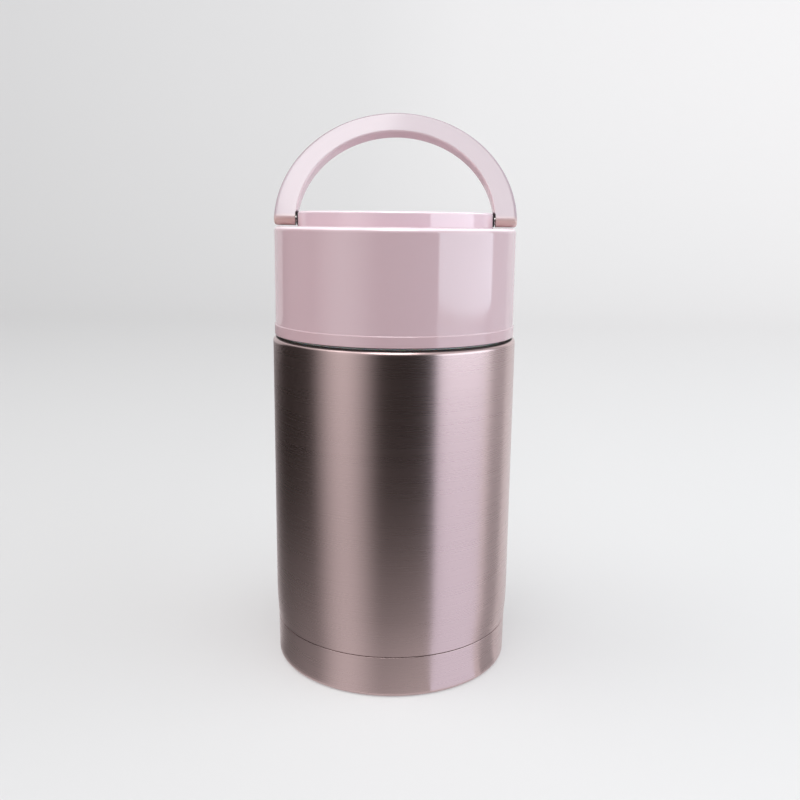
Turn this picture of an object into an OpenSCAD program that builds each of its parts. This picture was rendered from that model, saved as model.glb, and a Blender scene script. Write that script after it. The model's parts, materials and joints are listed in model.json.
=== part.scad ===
// Insulated food jar: a double-walled steel body, a screw-on stopper with a sprung
// steam vent, and a screw-on bowl lid with a folding carrying handle.
// Millimetres, Z up. The jar stands on z = 0, its centre line is the Z axis, and the
// handle turns about an axis along X. The front of the jar faces -Y.

/* [Steel body] */
// Outer diameter of the body
body_d = 100; // [94:1:110]
// Height of the body's shoulder, where the lid begins
body_h = 137.4; // [110:0.2:170]
// Thickness of the outer shell and of the base cap
shell_wall = 0.8; // [0.6:0.05:1.0]
// Thickness of the inner vessel
vessel_wall = 0.6; // [0.4:0.05:0.8]
// Vacuum space between the outer shell and the inner vessel
vacuum_gap = 4; // [3:0.1:5]
// Vacuum space between the two walls of the neck
neck_gap = 1.2; // [0.8:0.1:2]
// Height of the neck above the shoulder
neck_h = 19.6; // [17:0.2:22]
// Radius of the rounded edge round the shoulder
shoulder_round = 1.6; // [1.2:0.1:2.4]
// Radius of the hollow corner between the shoulder and the neck
neck_cove = 1.2; // [0.6:0.1:1.4]
// Radius of the inner vessel's lower corner
vessel_round = 12; // [8:0.5:16]
// Radius of the inner vessel's shoulder
vessel_shoulder = 3.6; // [2.5:0.1:4]

/* [Base] */
// Height of the seam between the base cap and the body
base_h = 17.1; // [14:0.1:22]
// How much the body's radius draws in at the seam
waist_in = 0.65; // [0.3:0.05:1]
// Height over which the body draws in above the seam
waist_h = 15; // [10:0.5:22]
// Width of the seam's groove
seam_gap = 0.3; // [0.2:0.05:0.5]
// Draft of the base cap's side, as a change of radius
base_draft = 0.15; // [0:0.05:0.4]
// Radius of the base cap's lower edge
base_round = 1.8; // [1.2:0.1:2.6]
// Width of the ring that the jar stands on
foot_ring = 4.6; // [3:0.2:8]
// How far the middle of the base is raised above the ring
base_hollow = 1.6; // [0.8:0.1:2.5]
// How far the body's skirt reaches down inside the base cap
skirt_reach = 8; // [6:0.5:10]
// Diameter of the dimple in the vacuum base
dimple_d = 18; // [14:0.5:22]
// Depth of the dimple in the vacuum base
dimple_h = 1.6; // [1:0.1:2.2]
// Diameter of the evacuation hole
exhaust_d = 2.4; // [1.6:0.1:3]
// Diameter of the getter's pan
getter_d = 16; // [12:0.5:20]
// Height of the getter's pan
getter_h = 2; // [1.5:0.1:2.4]
// Distance of the getter from the centre
getter_offset = 22; // [20:0.5:26]
// Height of the vacuum base above the skirt's lower edge
plate_rise = 3; // [2.6:0.1:4]
// Thickness of the radiation foil
foil_wall = 0.25; // [0.2:0.05:0.4]

/* [Stopper] */
// Thickness of the stopper's skirt
stopper_wall = 1.8; // [1.5:0.1:2.2]
// Thickness of the stopper's top
stopper_top_wall = 2.6; // [2:0.1:3.4]
// Gap between the skirt's lower edge and the shoulder
skirt_gap = 1.6; // [0.8:0.1:2.4]
// Thickness of the plug's side and floor
plug_wall = 1.8; // [1.4:0.1:2.2]
// How far the plug reaches below the vessel's shoulder
plug_reach = 2.5; // [1:0.1:5]
// Height of the sealing ring
gasket_h = 3.4; // [2.8:0.1:4]
// Depth of the sealing ring's groove
gasket_groove = 1.9; // [1.5:0.1:2.2]
// Number of grip flutes round the stopper
flutes = 28; // [20:2:32]
// Radius of a grip flute
flute_r = 2.2; // [1.6:0.1:2.6]
// Depth of a grip flute
flute_depth = 0.7; // [0.4:0.05:0.9]
// Height of the grip flutes
flute_h = 6.4; // [5:0.2:8]
// Depth of the ring pressed into the stopper's top
top_dish = 0.7; // [0.4:0.1:1]
// Width left flat between that ring and the vent's collar
dish_margin = 2; // [1:0.1:3]
// Radius of the rounded edge round the stopper's top
stopper_round = 1.5; // [1:0.1:2]
// Radius of the rounded edge round the plug
plug_round = 1.6; // [1:0.1:1.8]
// Height of the lip that centres the plug under the stopper's top
spigot_h = 1.5; // [1:0.1:2.5]
// Thickness of that lip
spigot_w = 1.2; // [0.8:0.1:1.6]

/* [Steam vent] */
// Diameter of the push button
button_d = 21.8; // [18:0.2:25]
// Height of the push button
button_h = 5; // [4.6:0.1:6]
// How far the button stands above its collar
button_proud = 1; // [0.5:0.1:1.5]
// How far the button travels
button_travel = 2.5; // [1.5:0.1:2.8]
// Height of the collar round the button above the stopper's top
collar_h = 2; // [1.5:0.1:3]
// Diameter of the vent stem
stem_d = 4; // [3:0.1:4.6]
// Diameter of the steam passage round the stem
passage_d = 5.4; // [5:0.1:6.4]
// Diameter of the valve seal
seal_d = 13; // [11:0.5:16]
// Thickness of the valve seal
seal_h = 1.7; // [1.2:0.1:2.4]
// Mean diameter of the spring
spring_d = 10.4; // [9.6:0.2:12]
// Wire diameter of the spring
spring_wire = 0.7; // [0.5:0.05:0.7]
// Turns of the spring
spring_turns = 4.5; // [3.5:0.5:4.5]
// Thickness of the button's shell and of the tubes round the stem
button_wall = 1.2; // [1:0.1:1.4]
// Radius of the rounded edge round the button
button_round = 0.8; // [0.5:0.1:1]
// Depth of the hollow in the button's top
button_dish = 0.5; // [0.2:0.05:0.6]
// Width left flat round that hollow
button_rim = 2; // [1.4:0.1:3]
// Height of the ring that the valve seal closes against
seat_ring = 0.5; // [0.3:0.05:0.8]
// Height of the stem's head
stem_head_h = 1; // [0.8:0.1:1.5]
// How far the stem's head stands out round the stem
stem_head_w = 2; // [1.5:0.1:3]

/* [Lid] */
// How far the lid's band stands inside the body's radius
lid_setback = 0.65; // [0.4:0.05:1.2]
// Gap between the body's shoulder and the lid
lid_gap = 0.9; // [0.6:0.1:1.4]
// Height of the lid's round wall
lid_h = 43.4; // [40:0.1:50]
// Thickness of the lid shell
lid_wall = 2; // [1.6:0.1:2.4]
// Height of the band round the lid's lower edge
band_h = 4.6; // [3:0.2:7]
// How far the band stands out from the wall above it
band_step = 0.3; // [0.2:0.05:0.5]
// Diameter of the raised drum on top of the lid
drum_d = 79; // [72:0.5:82]
// Height of the drum
drum_h = 5.9; // [5.8:0.1:8]
// Thickness of the drum's roof
roof_wall = 1.8; // [1.4:0.1:2.2]
// Radius of the rounded edge round the drum
drum_round = 1; // [0.6:0.1:1.4]
// Radius of the rounded edge round the lid's ledge
ledge_round = 1.9; // [0.4:0.1:2.2]
// Depth of the hollow in the drum's top
roof_dish = 0.5; // [0.3:0.05:0.8]
// Width of the rim round that hollow
roof_rim = 5; // [3:0.5:8]
// Thickness of the bowl-shaped liner
liner_wall = 1.6; // [1.2:0.1:2]
// Gap between the liner's top and the ledge above it
liner_drop = 4.9; // [4:0.1:6]
// Height of the liner's flange, where it is welded into the shell
flange_h = 2; // [1.5:0.1:3]
// Radius of the liner's inner corner
bowl_round = 8; // [5:0.5:12]
// Height of the lid's sealing ring
lid_gasket_h = 1.9; // [1.6:0.1:2.4]
// Width of the lid's sealing ring
lid_gasket_w = 1.6; // [1.2:0.1:1.8]
// Radius of the rounded lower edge of the lid's band
band_round = 0.6; // [0.3:0.05:1]

/* [Handle] */
// Thickness of the handle between its flat faces
handle_t = 5.2; // [4.8:0.1:5.4]
// Radius of the handle's outer edges
handle_round = 1.2; // [0.8:0.1:1.6]
// Radius of the handle's inner edges
handle_inner_round = 0.8; // [0.3:0.1:1.2]
// How far the handle leans back from upright as it stands
handle_lean = 28.5; // [0:0.5:80]
// Diameter of the pivot pins
pin_d = 3.2; // [2.4:0.1:3.4]
// Length of a pivot pin inside the lid
pin_in_lid = 5.4; // [4:0.2:7]
// Length of a pivot pin inside the handle
pin_in_handle = 5.6; // [4:0.2:6]
// Radius of the boss and of the washer round a pivot pin
boss_r = 2.6; // [2.4:0.1:2.7]
// Depth of the recess in the drum that a washer seats in
washer_sink = 0.5; // [0.3:0.05:0.7]
// Depth of the recess inside each foot of the handle
foot_recess = 0.6; // [0.4:0.05:0.8]
// Bevel round the ends of a pivot pin
pin_bevel = 0.3; // [0.2:0.05:0.5]

/* [Clearances] */
// Height of a screw thread's ridge
thread_h = 1; // [0.7:0.05:1.2]
// Gap between a thread's ridge and the wall that it faces
thread_clear = 0.45; // [0.35:0.05:0.6]
// Gap between a welded or pressed piece and its seat
weld_clear = 0.05; // [0.02:0.01:0.1]
// Running gap round a pivot pin or the vent stem
run_clear = 0.06; // [0.03:0.01:0.1]
// Gap between pieces that turn or slide past each other
part_clear = 0.35; // [0.3:0.05:0.5]
// Gap between the plug and the mouth
plug_clear = 0.8; // [0.6:0.05:1.2]
// Gap between the handle's inner side and the drum
handle_clear = 0.35; // [0.3:0.05:0.8]
// Gap between the folded handle and the ledge
fold_clear = 0.3; // [0.3:0.05:0.6]
// Air space under the foam in the stopper and in the lid
foam_air = 6.4; // [6.3:0.1:7]

/* [Hidden] */
$fn = 120;
arc_steps = 12;
over = 1;

// Radii from the body inwards, each piece fitted to the one outside it
body_r = body_d / 2;
foot_r = body_r - waist_in;
skirt_r = foot_r - base_draft - shell_wall - weld_clear;
waist_r = (waist_h * waist_h + waist_in * waist_in) / (2 * waist_in);
vessel_r = body_r - shell_wall - vacuum_gap;
lid_r = body_r - lid_setback;
lid_wall_r = lid_r - band_step;
lid_inner_r = lid_wall_r - lid_wall;
liner_r = lid_inner_r - part_clear - weld_clear;
bowl_r = liner_r - liner_wall;
skirt_outer_r = bowl_r - thread_h - thread_clear;
skirt_inner_r = skirt_outer_r - stopper_wall;
neck_r = skirt_inner_r - thread_h - thread_clear;
vessel_neck_r = neck_r - shell_wall - neck_gap;
mouth_r = vessel_neck_r - vessel_wall;
plug_r = mouth_r - plug_clear;

// Heights from the base upwards
step_z = base_h + seam_gap / 2;
cap_z = base_h - seam_gap / 2;
skirt_z = cap_z - skirt_reach;
plate_z = skirt_z + plate_rise;
vessel_z = plate_z + vacuum_gap;
vessel_top_z = body_h - shell_wall - vacuum_gap;
rim_z = body_h + neck_h;

// Stopper
stopper_z = body_h + skirt_gap;
seat_z = rim_z + part_clear;
stopper_top_z = seat_z + stopper_top_wall;
plug_z = vessel_top_z - plug_reach;
groove_z = vessel_top_z + neck_cove;
groove_h = gasket_h + 2 * weld_clear;
groove_r = plug_r - gasket_groove;
plug_inner_r = plug_r - plug_wall;
core_r = groove_r - plug_wall;
floor_z = plug_z + plug_wall;

// Steam vent
button_r = button_d / 2;
well_r = button_r + part_clear;
collar_r = well_r + plug_wall;
collar_z = stopper_top_z + collar_h;
button_top_z = collar_z + button_proud;
button_z = button_top_z - button_h;
well_z = button_z - button_travel - part_clear;
well_floor_z = well_z - plug_wall;
stem_r = stem_d / 2;
socket_r = stem_r + button_wall;
stem_top_z = button_top_z - button_wall - weld_clear;
tube_r = passage_d / 2 + button_wall;
seal_z = plug_z - seat_ring - weld_clear - seal_h;
stem_head_r = stem_r + stem_head_w;
spring_z = well_z + weld_clear;
spring_end_z = button_top_z - button_wall - weld_clear;

// Lid and handle
lid_z = body_h + lid_gap;
band_z = lid_z + band_h;
ledge_z = lid_z + lid_h;
drum_r = drum_d / 2;
drum_z = ledge_z + drum_h;
bowl_top_z = ledge_z - lid_wall - liner_drop;
liner_z = body_h + weld_clear + lid_gasket_h + weld_clear;
pivot_z = ledge_z + fold_clear + handle_t / 2;
handle_inner_r = drum_r + handle_clear;
handle_r = lid_r - weld_clear;
foot_x = handle_inner_r + foot_recess;
recess_r = boss_r + 2 * part_clear;
washer_inner_x = drum_r - washer_sink;
washer_outer_x = foot_x - part_clear;
boss_inner_x = drum_r - lid_wall - pin_in_lid + boss_r / 2;
pin_inner_x = boss_inner_x + part_clear + button_wall;
pin_outer_x = foot_x + pin_in_handle;
foam_r = boss_inner_x - part_clear;

// Points of an arc about c, from angle a0 to a1
function arc(c, r, a0, a1) =
    [for (i = [0:arc_steps]) let (a = a0 + (a1 - a0) * i / arc_steps) c + r * [cos(a), sin(a)]];

// Radius of the body at height z, where it draws in towards the seam
function waist(z) = body_r - waist_r + sqrt(waist_r * waist_r - pow(step_z + waist_h - z, 2));

// Outline of the outer shell, moved inwards by t; a moved outline runs past both open ends
function shell_outline(t) =
    let (past = t > 0 ? over : 0)
    concat(
        [[0, skirt_z - past], [skirt_r - t, skirt_z - past], [skirt_r - t, step_z + t]],
        [for (i = [0:arc_steps]) let (z = step_z + t + (waist_h - t) * i / arc_steps) [waist(z) - t, z]],
        arc([body_r - shoulder_round, body_h - shoulder_round], shoulder_round - t, 0, 90),
        arc([neck_r + neck_cove, body_h + neck_cove], neck_cove + t, 270, 180),
        [[neck_r - t, rim_z - shell_wall + past], [0, rim_z - shell_wall + past]]
    );

// Outline of the inner vessel, moved inwards by t
function vessel_outline(t) =
    let (past = t > 0 ? over : 0)
    concat(
        [[0, vessel_z + t]],
        arc([vessel_r - vessel_round, vessel_z + vessel_round], vessel_round - t, 270, 360),
        arc([vessel_r - vessel_shoulder, vessel_top_z - vessel_shoulder], vessel_shoulder - t, 0, 90),
        arc([vessel_neck_r + neck_cove, vessel_top_z + neck_cove], neck_cove + t, 270, 180),
        [[vessel_neck_r - t, rim_z + past], [0, rim_z + past]]
    );

module turn() {
    rotate_extrude() children();
}

// A flat ring between two radii and two heights
module ring(r0, r1, z0, z1) {
    turn() translate([r0, z0]) square([r1 - r0, z1 - z0]);
}

module outer_shell() {
    color([0.72, 0.58, 0.57]) turn() difference() {
        polygon(shell_outline(0));
        polygon(shell_outline(shell_wall));
    }
}

// The vessel's rim is turned out over the neck's outer wall and welded to it
module inner_vessel() {
    rim_round = shell_wall;
    color([0.78, 0.77, 0.76]) turn() {
        difference() {
            polygon(vessel_outline(0));
            polygon(vessel_outline(vessel_wall));
        }
        difference() {
            translate([mouth_r, rim_z - shell_wall]) square([neck_r - mouth_r, shell_wall]);
            translate([neck_r - rim_round, rim_z - rim_round]) difference() {
                square(2 * rim_round);
                circle(r = rim_round);
            }
        }
    }
}

module radiation_foil() {
    r = vessel_r + 2 * weld_clear;
    color([0.86, 0.62, 0.45])
        ring(r, r + foil_wall, vessel_z + vessel_round + over, vessel_top_z - vessel_shoulder - over);
}

// A pressed plate that closes the vacuum space, with a rim, a dimple and a hole to pump it out
module vacuum_base() {
    plate_r = skirt_r - shell_wall - weld_clear;
    dimple_r = dimple_d / 2;
    slope = dimple_h;
    color([0.7, 0.69, 0.68]) turn() polygon(concat(
        [[exhaust_d / 2, plate_z - dimple_h - shell_wall], [dimple_r, plate_z - dimple_h - shell_wall]],
        [[dimple_r + slope, plate_z - shell_wall], [plate_r - shell_wall - slope, plate_z - shell_wall]],
        [[plate_r - shell_wall, plate_z - shell_wall - slope], [plate_r - shell_wall, skirt_z]],
        [[plate_r, skirt_z], [plate_r, plate_z - slope]],
        [[plate_r - slope, plate_z], [dimple_r + slope, plate_z]],
        [[dimple_r, plate_z - dimple_h], [exhaust_d / 2, plate_z - dimple_h]]
    ));
}

// A pressed pan of gas-absorbing powder, spot-welded on the vacuum side of the plate
module getter() {
    lip = 0.6;
    color([0.45, 0.44, 0.43]) translate([getter_offset, 0, plate_z]) turn() difference() {
        square([getter_d / 2, getter_h]);
        translate([0, getter_h - lip]) square([getter_d / 2 - lip, lip + over]);
    }
}

// A bead of solder that stops the evacuation hole from below
module exhaust_seal() {
    bead_h = 1;
    bead_r = exhaust_d;
    z = plate_z - dimple_h - shell_wall;
    color([0.35, 0.35, 0.34]) turn() {
        translate([0, z]) square([exhaust_d / 2, shell_wall]);
        intersection() {
            translate([0, z]) scale([1, bead_h / bead_r]) circle(r = bead_r);
            translate([0, z - bead_h]) square([bead_r, bead_h]);
        }
    }
}

// A drawn cap that stands on a ring round a raised middle
module base_cap() {
    side_r = foot_r - base_draft;
    ring_r = side_r - base_round - foot_ring;
    rise_r = ring_r - 2 * base_hollow;
    color([0.72, 0.58, 0.57]) turn() polygon(concat(
        [[0, base_hollow], [rise_r, base_hollow], [ring_r, 0]],
        arc([side_r - base_round, base_round], base_round, 270, 360),
        [[foot_r, cap_z], [foot_r - shell_wall, cap_z]],
        arc([side_r - base_round, base_round], base_round - shell_wall, 360, 270),
        [[ring_r, shell_wall], [rise_r, base_hollow + shell_wall], [0, base_hollow + shell_wall]]
    ));
}

// Skirt, top and button well of the stopper, moulded in one
module stopper_cap() {
    edge = stopper_round;
    dish_in = collar_r + dish_margin;
    dish_out = skirt_outer_r - 2 * edge;
    color([0.9, 0.88, 0.86]) difference() {
        turn() {
            difference() {
                polygon(concat(
                    [[skirt_inner_r, stopper_z], [skirt_outer_r, stopper_z]],
                    arc([skirt_outer_r - edge, stopper_top_z - edge], edge, 0, 90),
                    [[collar_r - over, stopper_top_z], [collar_r - over, seat_z], [skirt_inner_r, seat_z]]
                ));
                translate([dish_in, stopper_top_z - top_dish]) square([dish_out - dish_in, top_dish + over]);
            }
            translate([well_r, well_floor_z]) square([collar_r - well_r, collar_z - well_floor_z]);
            translate([stem_r + run_clear, well_floor_z])
                square([collar_r - stem_r - run_clear, plug_wall]);
            translate([plug_inner_r - weld_clear - spigot_w, seat_z - spigot_h])
                square([spigot_w, spigot_h + over]);
        }
        for (i = [1:flutes])
            rotate(i * 360 / flutes)
                translate([skirt_outer_r + flute_r - flute_depth, 0, stopper_top_z - edge - flute_h])
                    cylinder(r = flute_r, h = flute_h, $fn = 32);
    }
}

// The plug: a cup with a groove for the sealing ring and a tube that guides the vent
module stopper_cup() {
    edge = plug_round;
    color([0.86, 0.84, 0.82]) turn() difference() {
        union() {
            translate([0, plug_z + edge]) square([plug_r, seat_z - plug_z - edge]);
            translate([0, plug_z]) square([plug_r - edge, edge + over]);
            translate([plug_r - edge, plug_z + edge]) circle(r = edge);
            translate([passage_d / 2, plug_z - seat_ring]) square([button_wall, seat_ring + over]);
        }
        translate([groove_r, groove_z]) square([gasket_groove + over, groove_h]);
        difference() {
            union() {
                translate([0, floor_z]) square([core_r, step_up_z() - floor_z]);
                translate([0, step_up_z()]) square([plug_inner_r, seat_z - step_up_z() + over]);
            }
            square([tube_r, well_floor_z]);
        }
        translate([0, plug_z - over]) square([passage_d / 2, seat_z]);
        translate([0, well_floor_z]) square([collar_r + part_clear, seat_z]);
    }
}

// Height at which the plug's wall steps out again above the groove
function step_up_z() = groove_z + groove_h + plug_wall;

// Foam under the stopper's top, over an air space
module stopper_foam() {
    z0 = floor_z + foam_air;
    r0 = tube_r + part_clear;
    r1 = core_r - part_clear;
    well_clear_r = collar_r + part_clear;
    color([0.95, 0.94, 0.9]) turn() {
        translate([r0, z0]) square([r1 - r0, well_floor_z - part_clear - z0]);
        translate([well_clear_r, z0]) square([r1 - well_clear_r, seat_z - part_clear - z0]);
    }
}

// A silicone ring with two sealing lips
module stopper_gasket() {
    z0 = groove_z + weld_clear;
    r0 = groove_r + part_clear;
    r1 = plug_r;
    lip_r = mouth_r - part_clear;
    lip = gasket_h / 6;
    color([0.93, 0.93, 0.92]) turn() polygon([
        [r0, z0], [r1, z0], [r1, z0 + lip], [lip_r, z0 + 2 * lip], [r1, z0 + 2.5 * lip],
        [r1, z0 + 3.5 * lip], [lip_r, z0 + 5 * lip], [r1, z0 + gasket_h], [r0, z0 + gasket_h]
    ]);
}

// A push button with a dished top, a skirt, and a socket for the stem
module vent_button() {
    edge = button_round;
    dish = button_dish;
    dish_w = button_r - button_rim;
    dish_r = (dish_w * dish_w + dish * dish) / (2 * dish);
    color([0.84, 0.62, 0.66]) turn() difference() {
        union() {
            translate([0, button_z]) square([button_r, button_h - edge]);
            translate([0, button_z]) square([button_r - edge, button_h]);
            translate([button_r - edge, button_top_z - edge]) circle(r = edge, $fn = 48);
        }
        difference() {
            translate([0, button_z - over]) square([button_r - button_wall, button_h - button_wall + over]);
            translate([0, button_z]) square([socket_r, button_h]);
        }
        translate([0, button_z - over]) square([stem_r, stem_top_z - button_z + over]);
        intersection() {
            translate([0, button_top_z - dish + dish_r]) circle(r = dish_r, $fn = 360);
            translate([0, button_top_z - dish]) square([button_r, over]);
        }
        translate([-button_r, button_z - over]) square([button_r, button_h + 2 * over]);
    }
}

// A rod that joins the button to the seal, with a head that carries the seal
module vent_stem() {
    color([0.8, 0.79, 0.78]) turn() {
        translate([0, seal_z]) square([stem_r, stem_top_z - seal_z]);
        translate([0, seal_z - stem_head_h]) square([stem_head_r, stem_head_h]);
    }
}

// A disc that closes the steam passage from below
module vent_seal() {
    color([0.9, 0.9, 0.88]) ring(stem_r + weld_clear, seal_d / 2, seal_z, seal_z + seal_h);
}

// A coil spring under the button
module vent_spring() {
    sides = 8;
    per_turn = 20;
    wire_r = spring_wire / 2;
    rings = round(spring_turns * per_turn);
    rise = spring_end_z - spring_z - spring_wire;
    points = [
        for (i = [0:rings])
            let (a = 360 * i / per_turn, z = spring_z + wire_r + rise * i / rings)
            for (j = [0:sides - 1])
                let (b = 360 * j / sides, r = spring_d / 2 + wire_r * cos(b))
                [r * cos(a), r * sin(a), z + wire_r * sin(b)]
    ];
    walls = [
        for (i = [0:rings - 1])
            for (j = [0:sides - 1])
                let (k = (j + 1) % sides)
                [i * sides + j, i * sides + k, (i + 1) * sides + k, (i + 1) * sides + j]
    ];
    ends = [
        [for (j = [0:sides - 1]) sides - 1 - j],
        [for (j = [0:sides - 1]) rings * sides + j]
    ];
    color([0.75, 0.76, 0.78]) polyhedron(points, concat(walls, ends));
}

// The solid shape of the lid: a wall on a band, a ledge and a drum, moved inwards by t
module lid_outline(t) {
    past = t > 0 ? over : 0;
    side_r = lid_wall_r - t;
    top_r = drum_r - t;
    ledge = max(ledge_round - t, 0.01);
    crown = max(drum_round - t, 0.01);
    roof_z = drum_z - (t > 0 ? roof_wall : 0);
    polygon(concat(
        [[0, lid_z - past], [side_r, lid_z - past]],
        arc([side_r - ledge, ledge_z - t - ledge], ledge, 0, 90),
        [[top_r, ledge_z - t]],
        arc([top_r - crown, roof_z - crown], crown, 0, 90),
        [[0, roof_z]]
    ));
}

module lid_shell() {
    dish_r = drum_r - roof_rim;
    boss_outer_x = drum_r - lid_wall / 2;
    color([0.93, 0.8, 0.82]) difference() {
        union() {
            turn() {
                difference() {
                    lid_outline(0);
                    lid_outline(lid_wall);
                    translate([0, drum_z - roof_dish]) square([dish_r, over]);
                }
                polygon(concat(
                    [[lid_inner_r, lid_z]],
                    arc([lid_r - band_round, lid_z + band_round], band_round, 270, 360),
                    [[lid_r, band_z - band_step], [lid_wall_r, band_z], [lid_inner_r, band_z]]
                ));
            }
            intersection() {
                for (side = [0, 180])
                    rotate(side) translate([boss_inner_x, 0, pivot_z]) rotate([0, 90, 0])
                        cylinder(r = boss_r, h = boss_outer_x - boss_inner_x, $fn = 48);
                ring(boss_inner_x - over, drum_r, ledge_z - over, drum_z - roof_dish);
            }
        }
        for (side = [0, 180])
            rotate(side) translate([0, 0, pivot_z]) rotate([0, 90, 0]) {
                translate([0, 0, pin_inner_x - part_clear])
                    cylinder(d = pin_d + 2 * run_clear, h = drum_r, $fn = 48);
                translate([0, 0, washer_inner_x])
                    cylinder(r = boss_r + weld_clear, h = washer_sink + over, $fn = 48);
            }
    }
}

// The bowl inside the lid; its lower rim is welded into the shell above the sealing ring
module lid_liner() {
    outer_round = bowl_round + liner_wall;
    color([0.95, 0.86, 0.87]) turn() difference() {
        union() {
            polygon(concat(
                [[0, liner_z], [liner_r, liner_z]],
                arc([liner_r - outer_round, bowl_top_z - outer_round], outer_round, 0, 90),
                [[0, bowl_top_z]]
            ));
            translate([liner_r - over, liner_z]) square([lid_inner_r - weld_clear - liner_r + over, flange_h]);
        }
        polygon(concat(
            [[0, liner_z - over], [bowl_r, liner_z - over]],
            arc([bowl_r - bowl_round, bowl_top_z - liner_wall - bowl_round], bowl_round, 0, 90),
            [[0, bowl_top_z - liner_wall]]
        ));
    }
}

// An insulating disc under the drum's roof, over an air space
module lid_foam() {
    color([0.95, 0.94, 0.9])
        ring(0, foam_r, bowl_top_z + foam_air, drum_z - roof_wall - part_clear);
}

module lid_gasket() {
    r1 = lid_inner_r - part_clear;
    color([0.93, 0.93, 0.92])
        ring(r1 - lid_gasket_w, r1, body_h + weld_clear, body_h + weld_clear + lid_gasket_h);
}

// Section of the handle: flat faces, large outer edges and small inner ones
module handle_section() {
    half = handle_t / 2;
    a = handle_round;
    b = handle_inner_round;
    polygon(concat(
        arc([handle_r - a, half - a], a, 0, 90),
        arc([handle_inner_r + b, half - b], b, 90, 180),
        arc([handle_inner_r + b, b - half], b, 180, 270),
        arc([handle_r - a, a - half], a, 270, 360)
    ));
}

// A half ring that ends in feet rounded about the pivot axis, each recessed inside for its washer
module handle() {
    color([0.93, 0.8, 0.82]) translate([0, 0, pivot_z]) rotate([-handle_lean, 0, 0]) difference() {
        union() {
            rotate([90, 0, 0]) rotate_extrude(angle = 180) handle_section();
            for (side = [0, 180])
                rotate(side) rotate([0, 90, 0]) turn() intersection() {
                    rotate(90) handle_section();
                    translate([0, handle_inner_r - over]) square([handle_t, handle_r]);
                }
        }
        for (side = [0, 180])
            rotate(side) rotate([0, 90, 0]) {
                translate([0, 0, foot_x - over]) cylinder(d = pin_d, h = pin_in_handle + over, $fn = 48);
                translate([0, 0, drum_r - over]) cylinder(r = recess_r, h = foot_x - drum_r + over, $fn = 48);
            }
    }
}

// A plain steel dowel with bevelled ends, pressed into a foot of the handle
module pivot_pin() {
    bevel = pin_bevel;
    pin_r = pin_d / 2;
    color([0.78, 0.78, 0.8]) translate([0, 0, pivot_z]) rotate([0, 90, 0]) turn() polygon([
        [0, pin_inner_x], [pin_r - bevel, pin_inner_x], [pin_r, pin_inner_x + bevel],
        [pin_r, pin_outer_x - bevel], [pin_r - bevel, pin_outer_x], [0, pin_outer_x]
    ]);
}

module pivot_pin_left() {
    rotate(180) pivot_pin();
}

module pivot_pin_right() {
    pivot_pin();
}

// A dark washer, seated in the drum, that the pin passes through on its way to the foot
module pivot_washer() {
    color([0.1, 0.1, 0.1]) translate([0, 0, pivot_z]) rotate([0, 90, 0])
        ring(pin_d / 2 + run_clear, boss_r, washer_inner_x, washer_outer_x, $fn = 48);
}

module pivot_washer_left() {
    rotate(180) pivot_washer();
}

module pivot_washer_right() {
    pivot_washer();
}

outer_shell();
inner_vessel();
radiation_foil();
vacuum_base();
getter();
exhaust_seal();
base_cap();
stopper_cap();
stopper_cup();
stopper_foam();
stopper_gasket();
vent_button();
vent_stem();
vent_spring();
vent_seal();
lid_shell();
lid_liner();
lid_foam();
lid_gasket();
handle();
pivot_pin_left();
pivot_pin_right();
pivot_washer_left();
pivot_washer_right();
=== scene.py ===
import json
import math
import bpy
import bmesh
from mathutils import Matrix, Vector

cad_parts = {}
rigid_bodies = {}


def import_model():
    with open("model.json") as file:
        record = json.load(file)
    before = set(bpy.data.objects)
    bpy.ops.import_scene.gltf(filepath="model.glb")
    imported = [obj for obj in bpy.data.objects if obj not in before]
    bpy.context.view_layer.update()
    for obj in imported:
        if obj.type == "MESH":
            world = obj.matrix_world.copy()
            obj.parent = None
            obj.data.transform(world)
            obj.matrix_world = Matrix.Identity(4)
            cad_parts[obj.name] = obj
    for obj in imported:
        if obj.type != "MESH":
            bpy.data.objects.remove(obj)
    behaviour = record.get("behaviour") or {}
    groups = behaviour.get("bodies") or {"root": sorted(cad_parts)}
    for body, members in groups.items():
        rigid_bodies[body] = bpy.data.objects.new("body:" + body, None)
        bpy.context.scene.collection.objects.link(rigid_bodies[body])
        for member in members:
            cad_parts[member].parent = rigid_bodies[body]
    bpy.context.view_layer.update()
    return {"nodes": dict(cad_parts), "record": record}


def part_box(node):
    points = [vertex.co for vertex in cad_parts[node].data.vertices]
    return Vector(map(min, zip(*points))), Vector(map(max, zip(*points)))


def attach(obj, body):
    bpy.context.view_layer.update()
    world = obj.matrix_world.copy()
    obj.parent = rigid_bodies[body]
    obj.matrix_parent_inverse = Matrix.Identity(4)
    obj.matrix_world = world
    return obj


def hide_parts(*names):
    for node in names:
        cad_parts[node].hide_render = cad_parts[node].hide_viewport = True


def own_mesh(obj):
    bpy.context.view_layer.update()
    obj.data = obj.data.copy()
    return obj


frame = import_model()
mm = 0.001  # the jar's sizes are in millimetres, and Blender works in metres
onAxis = 1e-6  # a smaller radius counts as the centre line
weld = 1e-7  # points closer than this, in metres, become one


# Outlines are lists of (radius, height), turned about the jar's centre line
def arc(centre, radius, fromAngle, toAngle, steps=10):
    points = []
    for i in range(steps + 1):
        angle = math.radians(fromAngle + (toAngle - fromAngle) * i / steps)
        points.append((centre[0] + radius * math.cos(angle), centre[1] + radius * math.sin(angle)))
    return points


def box(node):  # lowest and highest corner of a CAD node, in millimetres
    low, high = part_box(node)
    return low / mm, high / mm


def addObject(name, data):
    thing = bpy.data.objects.new(name, data)
    bpy.context.scene.collection.objects.link(thing)
    return thing


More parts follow.
